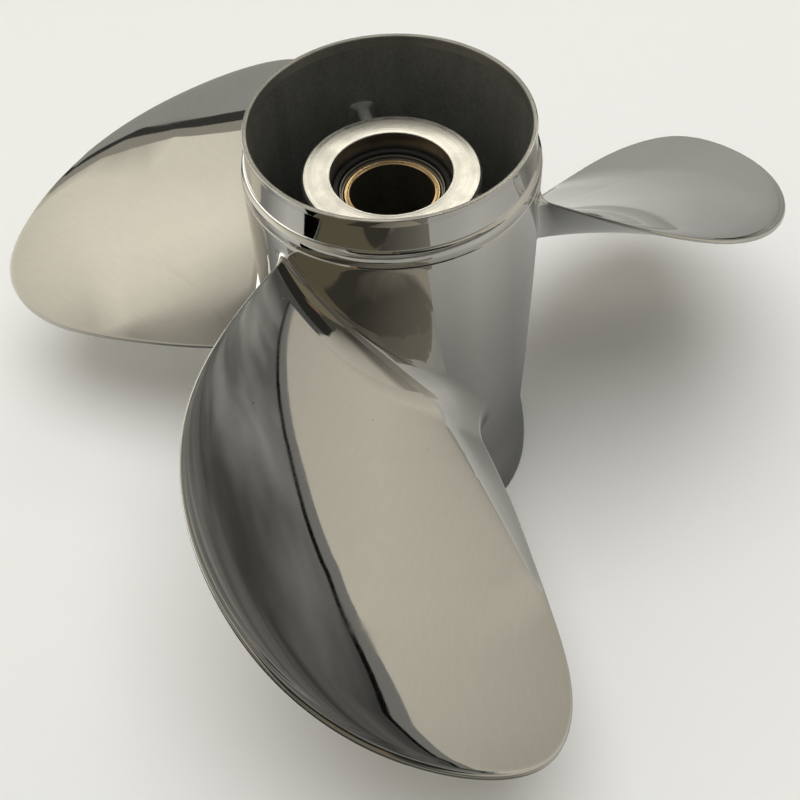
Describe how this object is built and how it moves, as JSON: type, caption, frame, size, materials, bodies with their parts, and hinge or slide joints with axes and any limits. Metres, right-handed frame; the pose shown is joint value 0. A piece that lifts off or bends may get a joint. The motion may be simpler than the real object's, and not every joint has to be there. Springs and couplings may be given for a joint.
{
  "type": "ship propeller",
  "caption": "Polished stainless three-blade ship propeller with a tubular exhaust hub, a machined inner hub and a bronze shaft sleeve.",
  "frame": {"origin": "on the shaft axis, in the plane of the flared aft rim that the propeller stands on", "axes": "+Z along the shaft axis towards the front, or gearcase, end; -Y towards the blade in front in the picture"},
  "size_m": [0.3182, 0.296, 0.169],
  "materials": {
    "polished_steel": "polished stainless steel",
    "machined_steel": "turned stainless steel",
    "bronze": "turned bronze",
    "rubber": "moulded"
  },
  "bodies": {
    "root": {"barrel": "polished_steel", "inner_hub": "machined_steel", "rib_1": "polished_steel", "rib_2": "polished_steel", "rib_3": "polished_steel", "blade_1": "polished_steel", "blade_2": "polished_steel", "blade_3": "polished_steel", "rubber_bush": "rubber", "bush_core": "machined_steel", "shaft_sleeve": "bronze"}
  },
  "joints": []
}
